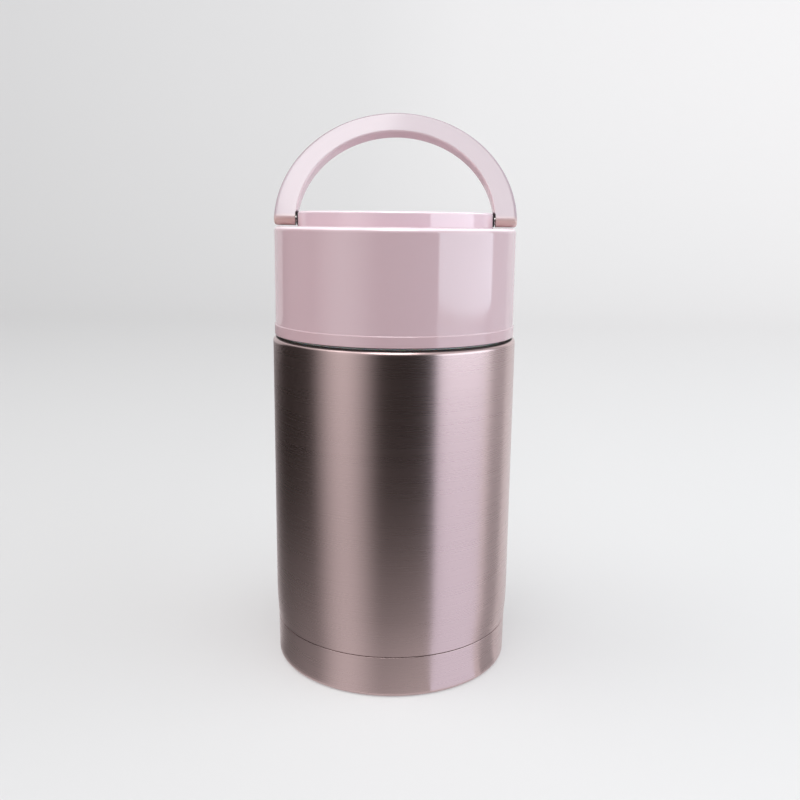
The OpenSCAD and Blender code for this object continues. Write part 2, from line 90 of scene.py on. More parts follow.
def finishMesh(name, points, faces, sharpAngle=35):
    mesh = bpy.data.meshes.new(name)
    mesh.from_pydata([Vector(p) * mm for p in points], [], faces)
    work = bmesh.new()
    work.from_mesh(mesh)
    bmesh.ops.remove_doubles(work, verts=work.verts, dist=weld)
    bmesh.ops.recalc_face_normals(work, faces=work.faces)
    work.to_mesh(mesh)
    work.free()
    mesh.shade_smooth()
    mesh.set_sharp_from_angle(angle=math.radians(sharpAngle))
    return addObject(name, mesh)


def skin(rows, count, closed=False, start=0):
    # faces between rows of equally many points; closed joins the last point of each row to its first
    faces = []
    for i in range(rows - 1):
        a, b = start + i * count, start + (i + 1) * count
        for j in range(count if closed else count - 1):
            k = (j + 1) % count
            faces.append((a + j, a + k, b + k, b + j))
    return faces


support = {"longRun": 0.9, "fromEnd": 0.1}


def supported(outline, closed=True):
    # long straight runs get a row close to each end, which keeps their shading flat up to the rounding
    points = []
    for a, b in zip(outline, outline[1:] + outline[:1] if closed else outline[1:]):
        points.append(a)
        length = math.dist(a, b)
        if length > support["longRun"]:
            near = support["fromEnd"] / length
            shares = [share for share, end in ((near, a), (1 - near, b)) if end[0] > onAxis]
            points += [(a[0] + (b[0] - a[0]) * t, a[1] + (b[1] - a[1]) * t) for t in shares]
    return points if closed else points + [outline[-1]]


def lathe(name, outline, steps=256, radiusChange=None, sharpAngle=35):
    # turns a closed outline; radiusChange(angle, radius, height) may cut flutes into it
    points, rows = [], []
    for radius, height in supported(outline):
        if radius < onAxis:
            rows.append([len(points)])
            points.append((0, 0, height))
            continue
        rows.append(range(len(points), len(points) + steps))
        for i in range(steps):
            angle = 2 * math.pi * i / steps
            r = radius + (radiusChange(angle, radius, height) if radiusChange else 0)
            points.append((r * math.cos(angle), r * math.sin(angle), height))
    faces = []
    for low, high in zip(rows, rows[1:] + rows[:1]):
        if len(low) == 1 and len(high) == 1:
            continue
        for i in range(steps):
            j = (i + 1) % steps
            if len(low) == 1:
                faces.append((low[0], high[j], high[i]))
            elif len(high) == 1:
                faces.append((low[i], low[j], high[0]))
            else:
                faces.append((low[i], low[j], high[j], high[i]))
    return finishMesh(name, points, faces, sharpAngle)


def loft(name, loops, sharpAngle=35):  # joins loops of equally many points with a skin, and closes its ends
    count = len(loops[0])
    points = [p for loop in loops for p in loop]
    faces = skin(len(loops), count, closed=True)
    faces.append(tuple(range(count)))
    faces.append(tuple((len(loops) - 1) * count + j for j in range(count)))
    return finishMesh(name, points, faces, sharpAngle)


class Wire:  # a socket that sums can be written with: each operator adds its Math node
    def __init__(self, finish, socket):
        self.finish = finish
        self.socket = socket

    def output(self, name):
        return Wire(self.finish, self.socket.node.outputs[name])

    def maths(self, operation, first, second=0):
        return self.finish.add("Math", {"operation": operation}, {0: first, 1: second})

    def distance(self, other):  # from the origin, where this wire and the other one are the coordinates
        return self.maths("SQRT", self * self + other * other)

    def __add__(self, other):
        return self.maths("ADD", self, other)

    def __radd__(self, other):
        return self.maths("ADD", other, self)

    def __sub__(self, other):
        return self.maths("SUBTRACT", self, other)

    def __rsub__(self, other):
        return self.maths("SUBTRACT", other, self)

    def __mul__(self, other):
        return self.maths("MULTIPLY", self, other)

    def __rmul__(self, other):
        return self.maths("MULTIPLY", other, self)


class Finish:
    def __init__(self, name, tree=None):
        if tree is None:
            self.material = bpy.data.materials.new(name)
            self.material.use_nodes = True
            tree = self.material.node_tree
        tree.nodes.clear()
        self.tree = tree

    def add(self, kind, settings={}, inputs={}, output=0):
        node = self.tree.nodes.new("ShaderNode" + kind)
        for key, value in settings.items():
            setattr(node, key, value)
        for key, value in inputs.items():
            if isinstance(value, Wire):
                self.tree.links.new(value.socket, node.inputs[key])
            else:
                node.inputs[key].default_value = value
        return Wire(self, node.outputs[output]) if node.outputs else None

    def place(self, scale=(1, 1, 1)):  # the piece's own coordinates in metres, stretched
        coordinates = self.add("TexCoord", output="Object")
        return self.add("VectorMath", {"operation": "MULTIPLY"}, {0: coordinates, 1: scale})

    def axes(self, source="Object"):  # the x of a place; its y and z are the node's other outputs
        split = self.add("SeparateXYZ", {}, {0: self.add("TexCoord", output=source)})
        return split, split.output("Y"), split.output("Z")

    def noise(self, scale, detail=3, stretch=(1, 1, 1)):
        return self.add("TexNoise", {}, {"Vector": self.place(stretch), "Scale": scale, "Detail": detail})

    def rise(self, value, low, high):  # from 0 below one size to 1 above the other, both in millimetres
        return self.add("MapRange", {}, {0: value, 1: low * mm, 2: high * mm})

    def between(self, value, low, high, start, end):  # 1 between two sizes, with a soft start and end
        return self.rise(value, low, low + start) * (1 - self.rise(value, high, high + end))

    def blend(self, factor, first, second):  # from one colour to another
        return self.add("Mix", {"data_type": "RGBA"}, {0: factor, 6: first, 7: second}, output=2)

    def bump(self, height, strength, depth):
        return self.add("Bump", {}, {"Height": height, "Strength": strength, "Distance": depth * mm})

    def surface(self, sockets):
        return self.show(self.add("BsdfPrincipled", {}, sockets))

    def show(self, shader):
        self.add("OutputMaterial", {}, {"Surface": shader})
        return self.material


def shade(colour, factor=1.0):
    return tuple(min(c * factor, 1) for c in colour) + (1,)


# the ring of painted shade lies on the shoulder under the lid, inside its set radius; its dark tint stands
# in for the shadow in the narrow gap under the lid
brushedRose = {"tint": (0.60, 0.45, 0.445), "unevenness": 0.05, "roughness": 0.278, "streaks": 0.06,
               "anisotropy": 0.45, "hairWidth": 0.35, "hairLength": 45, "lineStrength": 0.12,
               "hairShare": 0.7, "broadLength": 0.6, "broadWidth": 9, "gapShadeLow": 137.2, "gapShadeHigh": 138.6,
               "gapShadeR": 48.9, "gapShadeTint": (0.20, 0.16, 0.155), "gapShadeRoughness": 0.2, "hairDepth": 0.02}


def brushedSteel(name, look):
    finish = Finish(name)
    along = 1 / (look["hairLength"] * mm)
    across = 1 / (look["hairWidth"] * mm)
    broadAlong = along * look["broadLength"]
    hairs = finish.noise(1, 4, (along, along, across))
    broad = finish.noise(1, 2, (broadAlong, broadAlong, across / look["broadWidth"]))
    streaks = hairs * look["hairShare"] + broad * (1 - look["hairShare"])
    dark = shade(look["tint"], 1 - look["unevenness"])
    light = shade(look["tint"], 1 + look["unevenness"])
    x, y, z = finish.axes()
    # painted shade: the shoulder is darkened where the gap under the lid is in shadow
    gapShade = finish.between(z, look["gapShadeLow"], look["gapShadeHigh"], 0.15, 0.6)
    gapShade = gapShade * (1 - finish.rise(x.distance(y), look["gapShadeR"], look["gapShadeR"] + 0.2))
    roughness = look["roughness"] - look["streaks"] / 2 + look["streaks"] * streaks
    return finish.surface({
        "Base Color": finish.blend(gapShade, finish.blend(streaks, dark, light), shade(look["gapShadeTint"])),
        "Metallic": 1.0,
        "Roughness": roughness + gapShade * look["gapShadeRoughness"],
        "Anisotropic": look["anisotropy"],
        "Anisotropic Rotation": 0.25,
        "Normal": finish.bump(hairs, look["lineStrength"], look["hairDepth"]),
    })


# a pale tint painted on rounded edges as their highlight
paintedEdgeHighlight = (0.97, 0.82, 0.88)
handlePink = (0.425, 0.335, 0.375)
glossPink = {
    # the drum's tint is painted light: above the ledge the drum is tinted lighter than the lid's wall below
    # it
    "tint": (0.62, 0.444, 0.483), "drumLitTint": (0.74, 0.56, 0.62), "handleTint": handlePink,
    # each band: inner radius, outer radius, low, high, height of its fade, tint
    "bands": ((47.3, 60, 180.5, 181.72, 0.2, paintedEdgeHighlight),  # painted highlight along the ledge's rounded edge
              (38.3, 39.6, 186.8, 187.62, 0.2, paintedEdgeHighlight),  # painted highlight along the drum's rounded top edge
              (0, 60, 138, 142.6, 0.2, (0.60, 0.42, 0.455)),  # pinker foot of the lid
              (0, 60, 136, 138.5, 0.2, (0.02, 0.012, 0.012)),  # its underside, painted dark as the shade in the gap over the shoulder
              (39.6, 60, 181.9, 400, 0.2, handlePink),  # the handle
              (39.6, 60, 181.9, 184.2, 2.6, (0.64, 0.44, 0.41)),  # painted shade and warm reflection on the lower ends of its feet
              (39.6, 40.6, 181.9, 187.4, 0.2, (0.06, 0.03, 0.03))),  # the inside of its feet, painted dark as the shade in the slit beside the drum
    "ledge": 181.2, "ledgeFade": 0.8, "drumTop": 189.5, "drumFade": 1.5,
    "archLitTint": (0.60, 0.455, 0.49), "archR": 40.4, "archLean": 28.5, "archZ": 184.6, "archFrom": 188,
    "lowFade": 0.5, "sideFade": 0.2, "drift": 0.015, "cloudScale": 14, "grainScale": 900, "rippleScale": 60,
    "roughness": 0.07, "grainRoughness": 0.03, "grainRipple": 0.02, "ripple": 0.05, "rippleDepth": 0.05}
# the vent's button has one tone, so its changes of tone start above the whole jar
glossRose = dict(glossPink, tint=(0.58, 0.26, 0.31), ledge=400, drumTop=400, bands=())


def glossPlastic(name, look):
    finish = Finish(name)
    cloud = finish.noise(look["cloudScale"], 2)
    grain = finish.noise(look["grainScale"], 2)
    ripple = finish.noise(look["rippleScale"], 1) + grain * look["grainRipple"]
    x, y, height = finish.axes()
    # painted light: above the ledge the drum takes its lighter tint
    onDrum = finish.rise(height, look["ledge"] - look["ledgeFade"], look["ledge"] + look["ledgeFade"])
    onHandle = finish.rise(height, look["drumTop"] - look["drumFade"], look["drumTop"] + look["drumFade"])
    tone = finish.blend(onDrum, shade(look["tint"]), shade(look["drumLitTint"]))
    tone = finish.blend(onHandle, tone, shade(look["handleTint"]))
    radius = x.distance(y)
    for inner, outer, low, high, fade, tint in look["bands"]:
        level = finish.between(height, low, high, look["lowFade"], fade)
        ring = finish.between(radius, inner, outer, look["lowFade"], look["sideFade"])
        tone = finish.blend(level * ring, tone, shade(tint))
    # painted light: the inner face of the handle's arch is tinted a little lighter, as light from below and
    # the left falls on it; its distance is taken in the leaning plane
    lean = math.radians(look["archLean"])
    up = y * math.sin(lean) + (height - look["archZ"] * mm) * math.cos(lean)
    inside = 1 - finish.rise(x.distance(up), look["archR"], look["archR"] + 0.3)
    inside = inside * finish.rise(height, look["archFrom"], look["archFrom"] + 0.5)
    tone = finish.blend(inside, tone, shade(look["archLitTint"]))
    drift = finish.blend(cloud, shade((1, 1, 1), 1 - look["drift"]), (1, 1, 1, 1))
    return finish.surface({
        "Base Color": finish.add("Mix", {"data_type": "RGBA", "blend_type": "MULTIPLY"},
                                 {0: 1.0, 6: tone, 7: drift}, output=2),
        "Roughness": look["roughness"] + look["grainRoughness"] * grain,
        "IOR": 1.5,
        "Specular IOR Level": 1.0,
        "Subsurface Weight": 0.06,
        "Subsurface Radius": (0.9, 0.6, 0.6),
        "Subsurface Scale": 0.001,
        "Normal": finish.bump(ripple, look["ripple"], look["rippleDepth"]),
    })


# The other finishes have a grain that changes the tone, the roughness and the surface. Their tones are two
# factors of the tint, roughness is (least, spread), bump is (strength, depth), and cloud is the scale of a
# broader pattern for the tone
grainLook = {"cells": None, "detail": 3, "stretch": (1, 1, 1), "cloud": None, "sockets": {}}
grainLooks = {
    "satinSteel": dict(grainLook, tint=(0.62, 0.60, 0.58), scale=1, stretch=(20, 20, 1600), cloud=40,
                       tones=(0.95, 1.04), roughness=(0.22, 0.1), bump=(0.08, 0.02),
                       sockets={"Metallic": 1.0, "Anisotropic": 0.5, "Anisotropic Rotation": 0.25}),
    "copperFoil": dict(grainLook, tint=(0.85, 0.56, 0.38), cells="DISTANCE_TO_EDGE", scale=140,
                       tones=(0.9, 1.05), roughness=(0.18, 0.1), bump=(0.5, 0.3),
                       sockets={"Metallic": 1.0}),
    "sinteredGrey": dict(grainLook, tint=(0.25, 0.24, 0.23), scale=1500, detail=4,
                         tones=(0.8, 1.15), roughness=(0.6, 0.2), bump=(0.3, 0.05),
                         sockets={"Metallic": 1.0}),
    "palePlastic": dict(grainLook, tint=(0.80, 0.755, 0.74), scale=4000, detail=2, cloud=25,
                        tones=(0.97, 1.02), roughness=(0.35, 0.08), bump=(0.12, 0.03),
                        sockets={"Subsurface Weight": 0.05, "Subsurface Scale": 0.001}),
    "whiteFoam": dict(grainLook, tint=(0.86, 0.84, 0.78), cells="F1", scale=900,
                      tones=(1.03, 0.88), roughness=(0.85, 0), bump=(0.5, 0.2)),
    "clearSilicone": dict(grainLook, tint=(0.80, 0.78, 0.76), scale=700,
                          tones=(0.96, 1.02), roughness=(0.42, 0.12), bump=(0.1, 0.03),
                          sockets={"Subsurface Weight": 0.25, "Subsurface Scale": 0.002}),
    # this black also serves as painted shade in the slit beside the handle's feet
    "blackRubberSlitShade": dict(grainLook, tint=(0.012, 0.011, 0.011), scale=1200,
                        tones=(0.8, 1.6), roughness=(0.75, 0.15), bump=(0.1, 0.02)),
}


def grained(name):
    look = grainLooks[name]
    finish = Finish(name)
    if look["cells"]:
        grain = finish.add("TexVoronoi", {"feature": look["cells"]},
                           {"Vector": finish.place(), "Scale": look["scale"]})
    else:
        grain = finish.noise(look["scale"], look["detail"], look["stretch"])
    cloud = finish.noise(look["cloud"], 2) if look["cloud"] else grain
    first, last = [shade(look["tint"], factor) for factor in look["tones"]]
    least, spread = look["roughness"]
    sockets = {
        "Base Color": finish.blend(cloud, first, last),
        "Roughness": least + spread * grain if spread else least,
        "Normal": finish.bump(grain, *look["bump"]),
    }
    return finish.surface({**sockets, **look["sockets"]})


finishes = {
    "brushed_body": brushedSteel("brushedRoseSteel", brushedRose),
    "plain_steel": grained("satinSteel"),
    "foil": grained("copperFoil"),
    "getter_grey": grained("sinteredGrey"),
    "pale_plastic": grained("palePlastic"),
    "foam": grained("whiteFoam"),
    "silicone": grained("clearSilicone"),
    "dark_rubber": grained("blackRubberSlitShade"),
    "rose_plastic": glossPlastic("rosePlastic", glossRose),
    "pink_plastic": glossPlastic("pinkPlastic", glossPink),
}
slotOf = {row["node"]: row["material_slot"] for row in frame["record"]["subparts"]}
for node, piece in frame["nodes"].items():
    piece.data.materials.clear()
    piece.data.materials.append(finishes[slotOf[node]])
print("finishes: done")


def dress(piece, body, slotName, *nodes):  # finish, body and the CAD nodes that a piece stands for
    piece.data.materials.append(finishes[slotName])
    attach(piece, body)
    if nodes:
        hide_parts(*nodes)
    return piece


shellLow, shellHigh = box("outer_shell")
capLow, capHigh = box("base_cap")
vesselLow, vesselHigh = box("inner_vessel")
steel = {"steps": 360, "wall": 0.8, "vesselWall": 0.6, "skirtR": 48.35, "footR": 49.35, "seamGap": 0.3,
         "edge": 0.15, "waistH": 15, "waistSteps": 16, "shoulderZ": 137.4, "shoulderRound": 1.6,
         "neckR": 40.35, "cove": 1.2, "vesselR": 45.2, "vesselRound": 12, "vesselTop": 132.6,
         "vesselShoulder": 3.6, "vesselNeckR": 38.35, "rimRound": 0.28}


def shellSide(inset):
    # from the skirt, which hides in the base cap, up over the shoulder to the top of the neck
    bodyR = shellHigh.x
    stepZ = capHigh.z + steel["seamGap"]
    waistIn = bodyR - steel["footR"]
    waistR = (steel["waistH"] ** 2 + waistIn ** 2) / (2 * waistIn)
    points = [(steel["skirtR"] - inset, shellLow.z), (steel["skirtR"] - inset, stepZ + inset)]
    edge = 0 if inset else steel["edge"]
    for i in range(steel["waistSteps"] + 1):
        z = stepZ + inset + edge + (steel["waistH"] - inset - edge) * i / steel["waistSteps"]
        r = bodyR - waistR + math.sqrt(waistR ** 2 - (stepZ + steel["waistH"] - z) ** 2)
        if edge and i == 0:
            points += arc((r - edge, z), edge, 270, 350, 4)
        points.append((r - inset, z))
    shoulder, cove, neck = steel["shoulderRound"], steel["cove"], steel["neckR"]
    points += arc((bodyR - shoulder, steel["shoulderZ"] - shoulder), shoulder - inset, 0, 90)
    points += arc((neck + cove, steel["shoulderZ"] + cove), cove + inset, 270, 180)
    points.append((neck - inset, shellHigh.z))
    return points


def makeShell():
    outline = shellSide(0) + shellSide(steel["wall"])[::-1]
    dress(lathe("bodyShell", outline, steel["steps"]), "jar", "brushed_body", "outer_shell")


def vesselSide(inset):
    r, neck, cove = steel["vesselR"], steel["vesselNeckR"], steel["cove"]
    corner, shoulder, top = steel["vesselRound"], steel["vesselShoulder"], steel["vesselTop"]
    points = [(0, vesselLow.z + inset)]
    points += arc((r - corner, vesselLow.z + corner), corner - inset, 270, 360, 24)
    points += arc((r - shoulder, top - shoulder), shoulder - inset, 0, 90, 14)
    points += arc((neck + cove, top + cove), cove + inset, 270, 180)
    return points


def makeVessel():
    # its rim is turned out over the neck and welded, so the mouth has a thick rounded edge
    rim, wall = vesselHigh.z, steel["wall"]
    mouthR = steel["vesselNeckR"] - steel["vesselWall"]
    small = steel["rimRound"]
    outline = vesselSide(0)
    outline += [(steel["vesselNeckR"], rim - wall), (steel["neckR"], rim - wall)]
    outline += arc((steel["neckR"] - wall, rim - wall), wall, 0, 90)
    outline += arc((mouthR + small, rim - small), small, 90, 180, 6)
    outline += vesselSide(steel["vesselWall"])[::-1]
    dress(lathe("foodVessel", outline), "jar", "plain_steel", "inner_vessel")


baseCap = {"draft": 0.15, "round": 1.8, "ring": 4.6, "hollow": 1.6, "pressRound": 1.0}


def makeBaseCap():
    wall, edge, bend = steel["wall"], steel["edge"], baseCap["pressRound"]
    side = steel["footR"] - baseCap["draft"]
    ringR = side - baseCap["round"] - baseCap["ring"]
    riseR = ringR - 2 * baseCap["hollow"]
    lip = baseCap["round"]
    outline = [(0, baseCap["hollow"])]
    outline += arc((riseR, baseCap["hollow"] - bend), bend, 90, 45, 5)
    outline += arc((ringR, capLow.z + bend), bend, 225, 270, 5)
    outline += arc((side - lip, capLow.z + lip), lip, 270, 360, 14)
    outline += arc((steel["footR"] - edge, capHigh.z - edge), edge, 0, 90, 4)
    outline.append((steel["footR"] - wall, capHigh.z))
    outline += arc((side - lip, capLow.z + lip), lip - wall, 360, 270, 8)
    outline += [(ringR, wall), (riseR, baseCap["hollow"] + wall), (0, baseCap["hollow"] + wall)]
    dress(lathe("baseCap", outline, steel["steps"]), "jar", "brushed_body", "base_cap")


makeShell()
makeVessel()
makeBaseCap()
print("steel body: done")


# Screw threads are rounded ridges that wind round a wall and fade out at both ends. The profile across the
# ridge is (share of the height, share of half the foot), and each run is (start height, turns, start angle)
thread = {"height": 1.0, "lead": 6.0, "foot": 2.3, "fade": 30, "stepAngle": 3,
          "endSize": 0.35, "leastFoot": 0.3,
          "profile": ((-0.15, -1), (0, -0.92), (0.8, -0.42), (1, -0.22),
                      (1, 0.22), (0.8, 0.42), (0, 0.92), (-0.15, 1)),
          "runs": {"neckThread": (143.2, 1.3, 20), "bowlThread": (142.2, 1.2, 20),
                   "stopperInnerThread": (141.2, 1.1, 80), "stopperOuterThread": (142.2, 1.2, 200)}}


def screwRidge(name, wallR, outwards, body, slotName):
    side = 1 if outwards else -1
    fromZ, turns, startAngle = thread["runs"][name]
    total = int(turns * 360 / thread["stepAngle"])
    fadeSteps = thread["fade"] / thread["stepAngle"]
    loops = []
    for i in range(total + 1):
        angle = math.radians(startAngle + i * thread["stepAngle"])
        z = fromZ + thread["lead"] * i * thread["stepAngle"] / 360
        size = min(1, (min(i, total - i) + thread["endSize"]) / fadeSteps)
        size = math.sin(size * math.pi / 2)
        halfFoot = thread["foot"] / 2 * max(size, thread["leastFoot"])
        loop = []
        for depth, width in thread["profile"]:
            r = wallR + side * depth * thread["height"] * (size if depth > 0 else 1)
            loop.append((r * math.cos(angle), r * math.sin(angle), z + width * halfFoot))
        loops.append(loop)
    dress(loft(name, loops, sharpAngle=60), body, slotName)


screwRidge("neckThread", steel["neckR"], True, "jar", "brushed_body")


lidLow, lidHigh = box("lid_shell")
lid = {"steps": 360, "bandR": 49.35, "bandH": 4.6, "bandStep": 0.3, "bandRound": 0.6, "bandLip": 0.18,
       "stepRound": 0.25, "stepRise": 0.15, "wall": 2.0, "ledgeZ": 181.7, "ledgeRound": 1.9, "drumR": 39.5,
       "drumRound": 1.0, "rootRound": 0.3, "roof": 1.8, "dish": 0.5, "dishRim": 5, "dishRound": 0.35,
       "dishStep": 0.25, "pivotZ": 184.6}


def makeLidShell():
    wallR = lid["bandR"] - lid["bandStep"]
    bandTop = lidLow.z + lid["bandH"]
    band, lip, step = lid["bandRound"], lid["bandLip"], lid["stepRound"]
    top, drum, dish = lidHigh.z, lid["drumR"], lid["dish"]
    dishR, soft = drum - lid["dishRim"], lid["dishRound"]
    root, ledge, crown = lid["rootRound"], lid["ledgeRound"], lid["drumRound"]
    inner = wallR - lid["wall"]
    outline = [(inner, lidLow.z)]
    outline += arc((lid["bandR"] - band, lidLow.z + band), band, 270, 360)
    outline += arc((lid["bandR"] - lip, bandTop - lid["bandStep"]), lip, 0, 60, 5)
    outline += arc((wallR + step, bandTop + lid["stepRise"]), step, 240, 180, 5)
    outline += arc((wallR - ledge, lid["ledgeZ"] - ledge), ledge, 0, 90)
    outline += arc((drum + root, lid["ledgeZ"] + root), root, 270, 180, 6)
    outline += arc((drum - crown, top - crown), crown, 0, 90)
    outline += arc((dishR + soft, top - soft), soft, 90, 135, 4)
    outline += arc((dishR - lid["dishStep"], top - dish + soft), soft, 315, 270, 4)
    outline.append((0, top - dish))
    outline += [(0, top - lid["roof"]), (drum - lid["wall"], top - lid["roof"])]
    outline += [(drum - lid["wall"], lid["ledgeZ"] - lid["wall"]), (inner, lid["ledgeZ"] - lid["wall"])]
    dress(lathe("lidShell", outline, lid["steps"]), "lid", "pink_plastic", "lid_shell")


washer = {"holeR": 1.66, "edge": 0.2, "steps": 64}


def makeWashers():
    # dark rings between the drum and the feet of the handle, turned about the handle's axis; their black is
    # painted shade for the deep slit between drum and feet
    toPivot = Matrix.Translation((0, 0, lid["pivotZ"] * mm)) @ Matrix.Rotation(math.pi / 2, 4, "Y")
    for side in ("Left", "Right"):
        node = "pivot_washer_" + side.lower()
        low, high = box(node)
        outerR, edge = high.y, washer["edge"]
        outline = [(washer["holeR"], low.x)]
        outline += arc((outerR - edge, low.x + edge), edge, 270, 360, 4)
        outline += arc((outerR - edge, high.x - edge), edge, 0, 90, 4)
        outline.append((washer["holeR"], high.x))
        piece = lathe("pivotWasher" + side, outline, washer["steps"])
        piece.data.transform(toPivot)
        dress(piece, "lid", "dark_rubber", node)


liner = {"outerR": 46.65, "wall": 1.6, "bowlRound": 8, "flange": 2, "rimRound": 0.5}


def makeLiner():
    low, high = box("lid_liner")
    linerR, wall, corner, rim = liner["outerR"], liner["wall"], liner["bowlRound"], liner["rimRound"]
    bowlR, outer = linerR - wall, corner + wall
    flangeTop = low.z + liner["flange"]
    outline = [(0, high.z)]
    outline += arc((linerR - outer, high.z - outer), outer, 90, 0, 16)
    outline += [(linerR, flangeTop), (high.x, flangeTop), (high.x, low.z)]
    outline += arc((bowlR + rim, low.z + rim), rim, 270, 180, 6)
    outline += arc((bowlR - corner, high.z - wall - corner), corner, 0, 90, 16)
    outline.append((0, high.z - wall))
    dress(lathe("bowlLiner", outline), "lid", "pink_plastic", "lid_liner")
    screwRidge("bowlThread", bowlR, False, "lid", "pink_plastic")


# fine and coarse are (angle between sections, how many) from the pivot up to the crown
handle = {"thickness": 5.2, "outerR": 49.3, "innerR": 39.85, "round": 1.2, "innerRound": 0.8, "lean": 28.5,
          "footX": 40.45, "recessR": 3.3, "recessEdge": 0.15, "fine": (0.25, 24), "coarse": (1.2, 70),
          "footSteps": 24}


def recessed(x, y, z):  # each foot is hollowed round the pivot's axis, where the washer sits
    away = math.hypot(y, z) - handle["recessR"]
    share = min(max(0.5 - away / (2 * handle["recessEdge"]), 0), 1)
    depth = max(handle["footX"] - abs(x), 0) * share
    return (x + math.copysign(depth, x), y, z)


def makeHandle():
    # a half ring; below the pivot each foot is turned about the pivot's own axis
    half, a, b = handle["thickness"] / 2, handle["round"], handle["innerRound"]
    outer, inner = handle["outerR"], handle["innerR"]
    quarter = [(outer, 0)] + arc((outer - a, half - a), a, 0, 90, 8)
    quarter += arc((inner + b, half - b), b, 90, 180, 5) + [(inner, (half - b) / 2), (inner, 0)]
    quarter = supported(quarter, False)
    section = quarter + [(x, -y) for x, y in quarter[-2:0:-1]]
    (fine, fineCount), (coarse, coarseCount) = handle["fine"], handle["coarse"]
    risings = [fine * i for i in range(fineCount)]
    risings += [fine * fineCount + coarse * i for i in range(coarseCount)]
    angles = [math.radians(a) for a in risings + [90] + [180 - a for a in reversed(risings)]]
    points = [recessed(r * math.cos(a), y, r * math.sin(a)) for a in angles for r, y in section]
    faces = skin(len(angles), len(section), closed=True)
    footSteps = handle["footSteps"]
    for side in (1, -1):
        faces += skin(footSteps + 1, len(quarter), start=len(points))
        for i in range(footSteps + 1):
            angle = math.pi * i / footSteps
            points += [recessed(side * x, y * math.cos(angle), -y * math.sin(angle)) for x, y in quarter]
    lean = Matrix.Rotation(math.radians(-handle["lean"]), 4, "X")
    up = Vector((0, 0, lid["pivotZ"]))
    points = [lean @ Vector(p) + up for p in points]
    dress(finishMesh("carryHandle", points, faces), "handle", "pink_plastic", "handle")


makeLidShell()
makeWashers()
makeLiner()
makeHandle()
print("lid and handle: done")


stopper = {"outerR": 43.6, "innerR": 41.8, "topZ": 159.95, "seatZ": 157.35, "edge": 1.5, "soft": 0.3,
           "dish": 0.7, "dishIn": 15.05, "dishOut": 40.6, "collarR": 13.05, "collarRound": 0.5,
           "wellR": 11.25, "wellRound": 0.35, "wellZ": 155.1, "wellFloorZ": 153.3, "stemHoleR": 2.06,
           "spigotOut": 35.1, "spigotW": 1.2, "spigotH": 1.5, "flutes": 28, "stepsAFlute": 20,
           "fluteR": 2.2, "fluteDepth": 0.7, "fluteH": 6.4, "fluteEase": 0.6, "fluteRows": 24}


def fluteCut(angle, radius, height):
    # shallow scallops round the grip, which run out softly at both ends
    if radius < stopper["outerR"] - 0.01:
        return 0
    top = stopper["topZ"] - stopper["edge"]
    inside = min(height - (top - stopper["fluteH"]), top - height)
    ease = max(0, min(1, inside / stopper["fluteEase"]))
    pitch = 2 * math.pi / stopper["flutes"]
    offset = ((angle + pitch / 2) % pitch - pitch / 2) * stopper["outerR"]
    away = stopper["fluteR"] - stopper["fluteDepth"]
    if abs(offset) > math.sqrt(stopper["fluteR"] ** 2 - away ** 2):
        return 0
    depth = math.sqrt(stopper["fluteR"] ** 2 - offset ** 2) - away
    return -depth * math.sin(ease * math.pi / 2)


def makeStopperCap():
    nodeLow, nodeHigh = box("stopper_cap")
    s = stopper
    top, seat, edge, soft = s["topZ"], s["seatZ"], s["edge"], s["soft"]
    outer, inner, dishZ = s["outerR"], s["innerR"], top - s["dish"]
    collar, well = s["collarRound"], s["wellRound"]
    outline = [(inner, nodeLow.z), (outer - soft, nodeLow.z)]
    outline += arc((outer - soft, nodeLow.z + soft), soft, 290, 360, 4)
    low = top - edge - s["fluteH"]
    outline.append((outer, low - soft))
    outline += [(outer, low + s["fluteH"] * k / s["fluteRows"]) for k in range(s["fluteRows"] + 1)]
    outline += arc((outer - edge, top - edge), edge, 0.1, 90, 10)
    outline += arc((s["dishOut"] + soft, top - soft), soft, 90, 150, 4)
    outline += arc((s["dishOut"] - soft, dishZ + soft), soft, 330, 270, 4)
    outline += arc((s["dishIn"] + soft, dishZ + soft), soft, 270, 210, 4)
    outline += arc((s["dishIn"] - soft, top - soft), soft, 30, 90, 4)
    outline += arc((s["collarR"] + soft, top + soft), soft, 270, 180, 4)
    outline += arc((s["collarR"] - collar, nodeHigh.z - collar), collar, 0, 90, 6)
    outline += arc((s["wellR"] + well, nodeHigh.z - well), well, 90, 180, 5)
    outline += [(s["wellR"], s["wellZ"]), (s["stemHoleR"], s["wellZ"]), (s["stemHoleR"], s["wellFloorZ"])]
    outline += [(s["collarR"], s["wellFloorZ"]), (s["collarR"], seat)]
    spigotIn, spigotZ = s["spigotOut"] - s["spigotW"], seat - s["spigotH"]
    outline += [(spigotIn, seat), (spigotIn, spigotZ), (s["spigotOut"], spigotZ), (s["spigotOut"], seat)]
    outline.append((inner, seat))
    piece = lathe("stopperCap", outline, s["flutes"] * s["stepsAFlute"], fluteCut, sharpAngle=50)
    dress(piece, "stopper", "pale_plastic", "stopper_cap")
    screwRidge("stopperInnerThread", inner, False, "stopper", "pale_plastic")
    screwRidge("stopperOuterThread", outer, True, "stopper", "pale_plastic")


cup = {"plugR": 36.95, "edge": 1.6, "bottomZ": 130.1, "grooveR": 35.05, "grooveLow": 133.8,
       "grooveHigh": 137.3, "mouthR": 35.15, "stepZ": 139.1, "coreR": 33.25, "floorZ": 131.9,
       "tubeIn": 2.7, "tubeOut": 3.9, "tubeEdge": 0.25, "tubeTop": 153.3}


